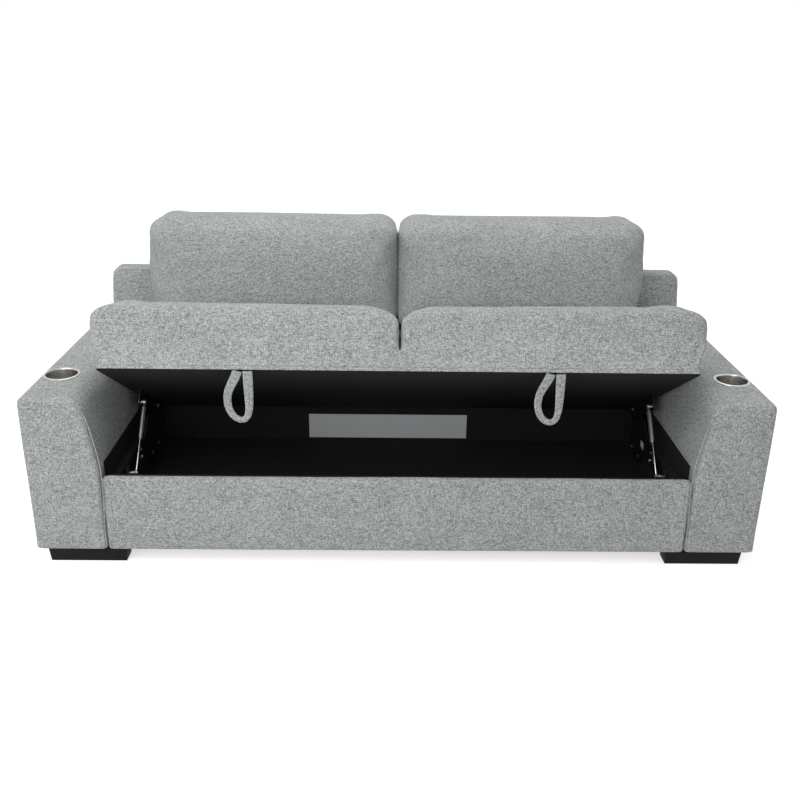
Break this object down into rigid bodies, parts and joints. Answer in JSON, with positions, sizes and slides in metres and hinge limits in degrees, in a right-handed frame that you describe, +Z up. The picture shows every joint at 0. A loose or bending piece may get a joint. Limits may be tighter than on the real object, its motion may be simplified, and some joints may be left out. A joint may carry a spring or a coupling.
{
  "type": "storage sofa",
  "caption": "Two-seat upholstered sofa with a seat lid that lifts on gas struts over a lined storage well, with a cup holder in each arm.",
  "frame": {"origin": "middle of the footprint, on the floor, with the lid open", "axes": "+X along the sofa to the right seen from the front, +Y towards its back, +Z up"},
  "size_m": [2.2, 1.08, 0.919],
  "materials": {
    "grey_tweed": "heathered woven upholstery",
    "black_lining": "matt non-woven cloth",
    "timber": "sawn",
    "foam": "open cell foam",
    "webbing": "woven strap",
    "black_foot": "satin",
    "steel_cup": "brushed",
    "black_steel": "satin black",
    "zinc": "bright zinc",
    "strut_silver": "satin silver",
    "strut_chrome": "polished",
    "card": "plain printed card",
    "label": "plain label"
  },
  "bodies": {
    "sofa_base": {"arm_cover_left": "grey_tweed", "arm_cover_right": "grey_tweed", "arm_frame_left": "timber", "arm_frame_right": "timber", "back_cover": "grey_tweed", "back_cushion_left": "grey_tweed", "back_cushion_right": "grey_tweed", "back_frame": "timber", "base_stud_left": "zinc", "base_stud_right": "zinc", "blank_card": "card", "blank_label": "label", "cross_rails": "timber", "cup_holder_left": "steel_cup", "cup_holder_right": "steel_cup", "dust_cover": "black_lining", "floor_board": "timber", "floor_lining": "black_lining", "foot_front_left": "black_foot", "foot_front_right": "black_foot", "foot_rear_left": "black_foot", "foot_rear_right": "black_foot", "foot_screws": "zinc", "front_rail_board": "timber", "front_rail_cover": "grey_tweed", "hinge_pin_left": "zinc", "hinge_pin_right": "zinc", "hinge_plate_left": "black_steel", "hinge_plate_right": "black_steel", "hinge_washer_left": "zinc", "hinge_washer_right": "zinc", "plate_bolts_left": "zinc", "plate_bolts_right": "zinc", "rear_shelf_board": "timber", "side_board_left": "black_lining", "side_board_right": "black_lining", "side_lining_left": "black_lining", "side_lining_right": "black_lining", "support_panel": "timber", "support_rail": "grey_tweed", "well_back_board": "black_lining"},
    "lid": {"lid_cloth": "black_lining", "lid_frame": "timber", "seat_webbing": "webbing", "seat_base_foam": "foam", "seat_band": "grey_tweed", "seat_cushion_left": "grey_tweed", "seat_cushion_right": "grey_tweed", "lid_bracket_left": "black_steel", "lid_bracket_right": "black_steel", "bracket_screws_left": "zinc", "bracket_screws_right": "zinc", "lid_stud_left": "zinc", "lid_stud_right": "zinc"},
    "strut_rod_left": {"strut_rod_left": "strut_chrome"},
    "strut_tube_left": {"strut_tube_left": "strut_silver"},
    "pull_loop_left": {"pull_strap_left": "grey_tweed"},
    "strut_rod_right": {"strut_rod_right": "strut_chrome"},
    "strut_tube_right": {"strut_tube_right": "strut_silver"},
    "pull_loop_right": {"pull_strap_right": "grey_tweed"}
  },
  "joints": [
    {"name": "lid_hinge", "type": "hinge", "parent": "sofa_base", "child": "lid", "pos_m": [0, 0.04, 0.283], "axis": [1, 0, 0], "range_deg": [0, 31]},
    {"name": "strut_swing_left", "type": "hinge", "parent": "sofa_base", "child": "strut_rod_left", "pos_m": [-0.838, -0.335, 0.205], "axis": [1, 0, 0], "range_deg": [-25.53, 0]},
    {"name": "strut_slide_left", "type": "slide", "parent": "strut_rod_left", "child": "strut_tube_left", "axis": [0, 0.6956, 0.7185], "range_m": [-0.08565, 0]},
    {"name": "loop_swing_left", "type": "hinge", "parent": "lid", "child": "pull_loop_left", "pos_m": [-0.457, -0.49167, 0.61553], "axis": [1, 0, 0], "range_deg": [-31, 0]},
    {"name": "strut_swing_right", "type": "hinge", "parent": "sofa_base", "child": "strut_rod_right", "pos_m": [0.838, -0.335, 0.205], "axis": [1, 0, 0], "range_deg": [-25.53, 0]},
    {"name": "strut_slide_right", "type": "slide", "parent": "strut_rod_right", "child": "strut_tube_right", "axis": [0, 0.6956, 0.7185], "range_m": [-0.08565, 0]},
    {"name": "loop_swing_right", "type": "hinge", "parent": "lid", "child": "pull_loop_right", "pos_m": [0.457, -0.49167, 0.61553], "axis": [1, 0, 0], "range_deg": [-31, 0]}
  ],
  "couplings": [
    {"joint": "strut_swing_left", "follows": "lid_hinge", "ratio": -0.81707},
    {"joint": "strut_slide_left", "follows": "lid_hinge", "m_per_rad": -0.15739},
    {"joint": "loop_swing_left", "follows": "lid_hinge", "ratio": -1},
    {"joint": "strut_swing_right", "follows": "lid_hinge", "ratio": -0.81707},
    {"joint": "strut_slide_right", "follows": "lid_hinge", "m_per_rad": -0.15739},
    {"joint": "loop_swing_right", "follows": "lid_hinge", "ratio": -1}
  ]
}
